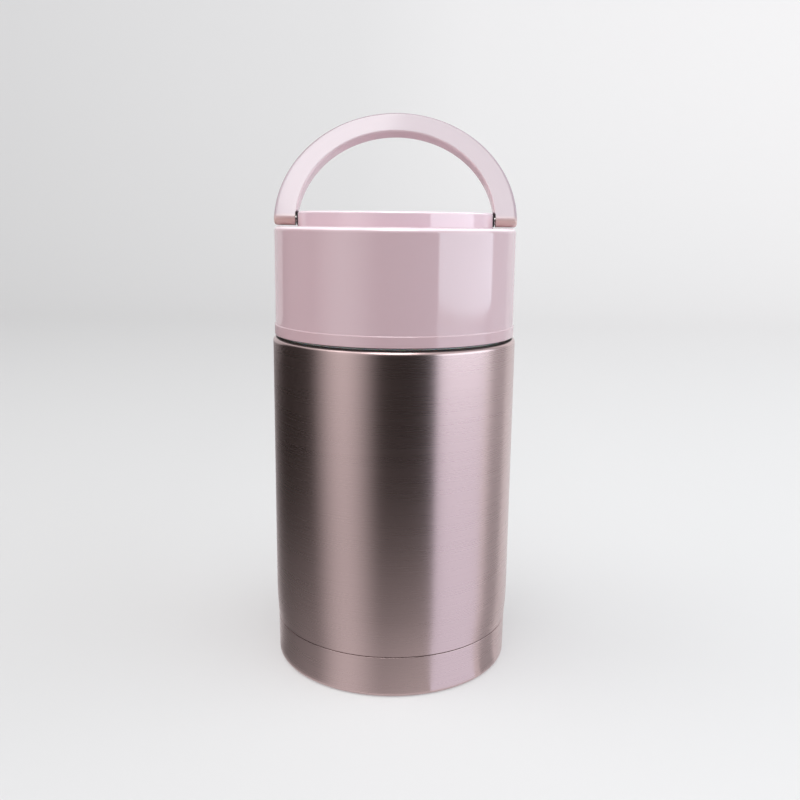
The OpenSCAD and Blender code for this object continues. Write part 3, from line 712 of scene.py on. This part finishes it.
def makeStopperCup():
    low, high = box("stopper_cup")
    c = cup
    plugR, edge, tubeIn, tubeOut = c["plugR"], c["edge"], c["tubeIn"], c["tubeOut"]
    outline = [(tubeIn, low.z), (tubeOut - c["tubeEdge"], low.z), (tubeOut, low.z + c["tubeEdge"])]
    outline.append((tubeOut, c["bottomZ"]))
    outline += arc((plugR - edge, c["bottomZ"] + edge), edge, 270, 360, 10)
    outline += [(plugR, c["grooveLow"]), (c["grooveR"], c["grooveLow"])]
    outline += [(c["grooveR"], c["grooveHigh"]), (plugR, c["grooveHigh"])]
    outline += [(plugR, high.z), (c["mouthR"], high.z), (c["mouthR"], c["stepZ"]), (c["coreR"], c["stepZ"])]
    outline += [(c["coreR"], c["floorZ"]), (tubeOut, c["floorZ"]), (tubeOut, c["tubeTop"])]
    outline.append((tubeIn, c["tubeTop"]))
    dress(lathe("stopperCup", outline), "stopper", "pale_plastic", "stopper_cup")


spring = {"wireR": 0.35, "turns": 4.5, "stepsATurn": 48, "sides": 14, "travel": 2.5}


def makeSpring():  # the vent's spring, built at rest with a mesh of its own; the real one is pressed together as the vent's button goes down
    low, high = box("vent_spring")
    wireR, steps = spring["wireR"], int(spring["turns"] * spring["stepsATurn"])
    coilR, rise = high.x - wireR, high.z - low.z - 2 * wireR
    loops = []
    for i in range(steps + 1):
        angle = 2 * math.pi * i / spring["stepsATurn"]
        centre = (coilR, low.z + wireR + rise * i / steps)
        ring = arc(centre, wireR, 0, 360, spring["sides"])[:-1]
        loops.append([(r * math.cos(angle), r * math.sin(angle), z) for r, z in ring])
    piece = dress(loft("ventSpring", loops), "stopper", slotOf["vent_spring"], "vent_spring")
    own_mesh(piece)


# lips are their middles, in sixths of the ring's height; each starts below and ends above its middle
stopperSeal = {"bodyR": 36.95, "rootR": 35.4, "edge": 0.3, "topSlope": 0.1, "lips": (2, 4.6),
               "lipBelow": 0.55, "lipAbove": 0.45, "lipRise": 0.05, "lipRound": 0.2}


def makeStopperSeal():
    low, high = box("stopper_gasket")
    s = stopperSeal
    bodyR, edge, lipRound = s["bodyR"], s["edge"], s["lipRound"]
    sixth = (high.z - low.z) / 6
    outline = [(s["rootR"], low.z), (bodyR - edge, low.z)]
    outline += arc((bodyR - edge, low.z + edge), edge, 300, 360, 3)
    for centre in [low.z + place * sixth for place in s["lips"]]:
        outline.append((bodyR, centre - s["lipBelow"]))
        outline += arc((high.x - lipRound, centre + s["lipRise"]), lipRound, -60, 60, 6)
        outline.append((bodyR, centre + s["lipAbove"]))
    outline += [(bodyR, high.z - s["topSlope"]), (s["rootR"], high.z)]
    dress(lathe("stopperSeal", outline, sharpAngle=50), "stopper_ring", "silicone", "stopper_gasket")


lidSeal = {"innerR": 45.1, "round": 0.45}


def makeLidSeal():  # a plain ring with rounded corners
    low, high = box("lid_gasket")
    outerR, innerR, soft = high.x, lidSeal["innerR"], lidSeal["round"]
    outline = arc((innerR + soft, low.z + soft), soft, 180, 270, 5)
    outline += arc((outerR - soft, low.z + soft), soft, 270, 360, 5)
    outline += arc((outerR - soft, high.z - soft), soft, 0, 90, 5)
    outline += arc((innerR + soft, high.z - soft), soft, 90, 180, 5)
    dress(lathe("lidSeal", outline), "lid_ring", "silicone", "lid_gasket")


button = {"edge": 0.8, "wall": 1.2, "dish": 0.5, "dishRim": 2, "dishStep": 0.2, "dishSteps": 12,
          "stemR": 2, "hubR": 3.2, "stemPlay": 0.05, "steps": 128}


def makeButton():
    low, high = box("vent_button")
    r, top, edge, wall, dish = high.x, high.z, button["edge"], button["wall"], button["dish"]
    stemR, hubR, stemTop = button["stemR"], button["hubR"], top - wall - button["stemPlay"]
    dishR, steps = r - button["dishRim"], button["dishSteps"]
    curve = (dishR ** 2 + dish ** 2) / (2 * dish)
    outline = [(r - wall, low.z), (r, low.z)]
    outline += arc((r - edge, top - edge), edge, 0, 90, 8)
    outline.append((dishR + button["dishStep"], top))
    for i in range(steps, -1, -1):
        x = dishR * i / steps
        outline.append((x, top - dish + curve - math.sqrt(curve ** 2 - x ** 2)))
    outline += [(0, stemTop), (stemR, stemTop), (stemR, low.z), (hubR, low.z)]
    outline += [(hubR, top - wall), (r - wall, top - wall)]
    dress(lathe("ventButton", outline, button["steps"]), "vent", "rose_plastic", "vent_button")


makeStopperCap()
makeStopperCup()
makeSpring()
makeStopperSeal()
makeLidSeal()
makeButton()
print("stopper: done")


# From here on sizes are in metres: this is the studio round the jar
studio = {"frontEdge": -3.0, "coveStart": 1.3, "coveR": 0.9, "height": 3.2, "halfWidth": 4.0,
          "paper": 0.5, "glowTint": (1, 0.985, 1), "glow": 0.276, "glowRight": 0.08, "glowBack": 0.04,
          "glowUp": 0.08, "glowStep": 0.045, "stepHalf": 0.15,
          "sky": 0.78, "fillFront": 0.38, "fillLeft": 2.3, "fillRight": 1.66}


def seenDirectly(finish):
    # 1 for the camera and for what gloss and glass show, 0 for light that falls on the jar
    rays = finish.add("LightPath", output="Is Camera Ray")
    return rays + rays.output("Is Glossy Ray") + rays.output("Is Transmission Ray")


def standIn(name, points, faces, finish, reflectedOnly=False, shadows=False):
    # a part of the studio, never of the jar
    mesh = bpy.data.meshes.new(name)
    mesh.from_pydata(points, [], faces)
    mesh.shade_smooth()
    mesh.materials.append(finish.material)
    piece = addObject(name, mesh)
    if reflectedOnly:
        piece.visible_camera = False
        piece.visible_diffuse = False
        piece.visible_shadow = shadows
        piece.visible_transmission = False


def makeSweep():
    # the floor runs back and curves up into the wall behind
    s = studio
    side = [(s["frontEdge"], 0.0), (0.0, 0.0), (s["coveStart"], 0.0)]
    for degrees in range(5, 91, 5):
        angle = math.radians(degrees)
        side.append((s["coveStart"] + s["coveR"] * math.sin(angle), s["coveR"] * (1 - math.cos(angle))))
    side.append((s["coveStart"] + s["coveR"], s["height"]))
    points = [(x, y, z) for y, z in side for x in (-s["halfWidth"], s["halfWidth"])]
    finish = Finish("studioPaper")
    x, y, z = finish.axes()
    glow = s["glow"] + x * s["glowRight"] + y * s["glowBack"] + z * s["glowUp"]
    glow = glow + finish.rise(x, -s["stepHalf"] / mm, s["stepHalf"] / mm) * s["glowStep"]
    matt = finish.add("BsdfDiffuse", {}, {"Color": shade((s["paper"],) * 3)})
    light = finish.add("Emission", {}, {"Color": finish.blend(glow, (0, 0, 0, 1), shade(s["glowTint"]))})
    both = finish.add("AddShader", {}, {0: matt, 1: light})
    finish.show(finish.add("MixShader", {}, {0: seenDirectly(finish), 1: matt, 2: both}))
    standIn("studioSweep", points, skin(len(side), 2), finish)


def makeWorld():
    world = bpy.data.worlds.new("studioAir")
    world.use_nodes = True
    bpy.context.scene.world = world
    finish = Finish("studioAir", world.node_tree)
    across = finish.axes("Generated")[0]
    fillFront, fillLeft, fillRight = studio["fillFront"], studio["fillLeft"], studio["fillRight"]
    strengths = (fillFront, fillLeft, studio["sky"])
    front, side, shown = [finish.add("Background", {}, {"Color": (1, 1, 1, 1), "Strength": strength})
                          for strength in strengths]
    # the fill grows from the front to both sides, and less to the right
    rightShare = (fillRight - fillFront) / (fillLeft - fillFront)
    share = across * across * ((1 + rightShare) / 2 - across * ((1 - rightShare) / 2))
    falling = finish.add("MixShader", {}, {0: share, 1: front, 2: side})
    air = finish.add("MixShader", {}, {0: seenDirectly(finish), 1: falling, 2: shown})
    finish.add("OutputWorld", {}, {"Surface": air})


def towards(azimuth, distance, height):  # azimuth in degrees from the front, to the right
    angle = math.radians(azimuth)
    return Vector((math.sin(angle), -math.cos(angle), 0)) * distance + Vector((0, 0, height))


lamps = {
    "rightWindow": {"azimuth": 73, "distance": 1.2, "height": 0.405, "aim": 0.405, "size": (1.50, 0.75),
                    "radiance": 1.85, "tint": (0.74, 0.90, 1.0)},
    "overheadBox": {"azimuth": 5, "distance": 0.45, "height": 1.25, "aim": 0.16, "size": (0.55, 0.8),
                    "radiance": 2.9, "tint": (1, 1, 1)},
    "overheadLeft": {"azimuth": -25, "distance": 0.49, "height": 1.25, "aim": 0.16, "size": (0.39, 0.8),
                     "radiance": 1.7, "tint": (1, 1, 1)},
    "overheadSide": {"azimuth": -74, "distance": 0.75, "height": 1.21, "aim": 0.14, "size": (0.5, 0.5),
                     "radiance": 1.6, "tint": (1, 1, 1)},
}


def softbox(name, look):
    width, tall = look["size"]
    lamp = bpy.data.lights.new(name, "AREA")
    lamp.shape = "RECTANGLE"
    lamp.size = width
    lamp.size_y = tall
    lamp.energy = look["radiance"] * math.pi * width * tall
    lamp.color = look["tint"]
    piece = addObject(name, lamp)
    piece.location = towards(look["azimuth"], look["distance"], look["height"])
    away = piece.location - Vector((0, 0, look["aim"]))
    piece.rotation_euler = away.to_track_quat("Z", "Y").to_euler()
    piece.visible_camera = False


# Rooms are a table top and a wall that only reflections see, as a room beside the jar would darken or light
# them. Near the jar all angles draw in towards the front, which keeps their reflections upright on it.
# The wall stays low up to the angle lowUpTo, and from fadeFrom the studio shows through more and more
room = {"rings": (0.0492, 0.065, 0.085, 0.11, 0.16, 0.25, 0.5, 1.0), "lift": 0.0005, "soft": 0.002,
        "drawIn": 0.0255, "steps": 36, "lowest": 0.03, "lowUpTo": -133, "riseOver": 15, "nearBell": 0.65,
        "fadeFrom": -110, "fade": 65}
plainRoom = {"strength": 1.0, "peakAngle": 300, "peakWidth": 30, "peakTurn": 0, "floorReach": 1.0,
             "floorGlow": 0, "floorTurn": 0}
rooms = {
    "darkRoom": {"span": (-174, 41), "height": 0.72, "strength": 1.0,
                 "dark": (0.008, 0.005, 0.003), "light": (0.92, 0.915, 0.92),
                 "peakAngle": -47, "peakWidth": 38, "peakTurn": 5,
                 "floorReach": 0.32, "floorGlow": 0.55, "floorTurn": 0.16},
    "lightTable": dict(plainRoom, span=(41, 95), height=0.03, strength=1.15,
                       dark=(0.84, 0.88, 1.0), light=(0.84, 0.88, 1.0)),
    "greyRoom": dict(plainRoom, span=(104, 133), height=2.2, floorGlow=1.6,
                     dark=(0.55, 0.55, 0.57), light=(0.42, 0.42, 0.43)),
}


def roomPoints(look):
    points = []
    fromAngle, toAngle = look["span"]
    for i in range(room["steps"] + 1):
        azimuth = fromAngle + (toAngle - fromAngle) * i / room["steps"]
        risen = min((azimuth - room["lowUpTo"]) / room["riseOver"], 1)
        rows = [(r, room["lift"]) for r in room["rings"]]
        rows.append((room["rings"][-1], max(look["height"] * risen, room["lowest"])))
        points += [towards(azimuth * (1 - room["drawIn"] / r), r, z) for r, z in rows]
    return points


def roomSide(name, look):
    near = room["rings"][0]
    finish = Finish(name)
    x, y = finish.axes()[:2]
    distance = x.distance(y)
    azimuth = x.maths("ARCTAN2", x, -1 * y) * x.maths("DIVIDE", distance, distance - room["drawIn"])
    cover = x.maths("MINIMUM", (distance - near) * (1 / room["soft"]), 1)
    behind = (math.radians(room["fadeFrom"]) - azimuth) * (1 / math.radians(room["fade"]))
    behind = x.maths("MAXIMUM", behind, 0)
    cover = cover * x.maths("MAXIMUM", 1 - behind * behind * behind, 0)
    close = x.maths("MAXIMUM", 1 - (distance - near) * (1 / look["floorReach"]), 0)
    off = azimuth - math.radians(look["peakAngle"]) - close * math.radians(look["peakTurn"])
    off = off * (1 / math.radians(look["peakWidth"]))
    bell = x.maths("MAXIMUM", 1 - off * off)
    bell = bell * bell * (room["nearBell"] + (1 - room["nearBell"]) * distance)
    floorGlow = close * close * (look["floorGlow"] + azimuth * look["floorTurn"])
    share = 1 - (1 - bell) * (1 - floorGlow)
    colour = finish.blend(share, shade(look["dark"]), shade(look["light"]))
    glow = finish.add("Emission", {}, {"Color": colour, "Strength": look["strength"]})
    finish.show(finish.add("MixShader", {}, {0: cover, 1: finish.add("BsdfTransparent"), 2: glow}))
    faces = skin(room["steps"] + 1, len(room["rings"]) + 1)
    standIn(name, roomPoints(look), faces, finish, True)


# top is (azimuth, height)
sill = {"distance": 1.05, "level": 0.3,
        "top": ((70, 0.022), (76, 0.03), (85, 0.036), (92, 0.043), (97, 0.052), (101, 0.064), (104, 0.08),
                (106, 0.105), (107, 0.16))}


def makeSill():  # rounds off the window's lower corner in reflections
    points = [towards(azimuth, sill["distance"], z) for azimuth, top in sill["top"] for z in (0.0, top)]
    finish = Finish("windowSill")
    finish.show(finish.add("Emission", {}, {"Color": shade((sill["level"],) * 3)}))
    standIn("windowSill", points, skin(len(sill["top"]), 2), finish, True, True)


makeSweep()
makeWorld()
for name, look in lamps.items():
    softbox(name, look)
for name, look in rooms.items():
    roomSide(name, look)
makeSill()
print("studio: done")


view = {"lens": 40.07, "nearest": 0.01, "place": (0.00659, -0.3699, 0.18385),
        "tiltDown": 11.323, "turn": 0.601, "roll": 0.65}


def makeCamera():
    data = bpy.data.cameras.new("mainView")
    data.lens = view["lens"]
    data.clip_start = view["nearest"]
    camera = addObject("mainView", data)
    turn = Matrix.Rotation(math.radians(view["turn"]), 4, "Z")
    tilt = Matrix.Rotation(math.radians(90 - view["tiltDown"]), 4, "X")
    roll = Matrix.Rotation(math.radians(view["roll"]), 4, "Z")
    camera.matrix_world = Matrix.Translation(view["place"]) @ turn @ tilt @ roll
    bpy.context.scene.camera = camera


makeCamera()
bpy.context.scene.view_settings.view_transform = "Standard"
print("camera: done")
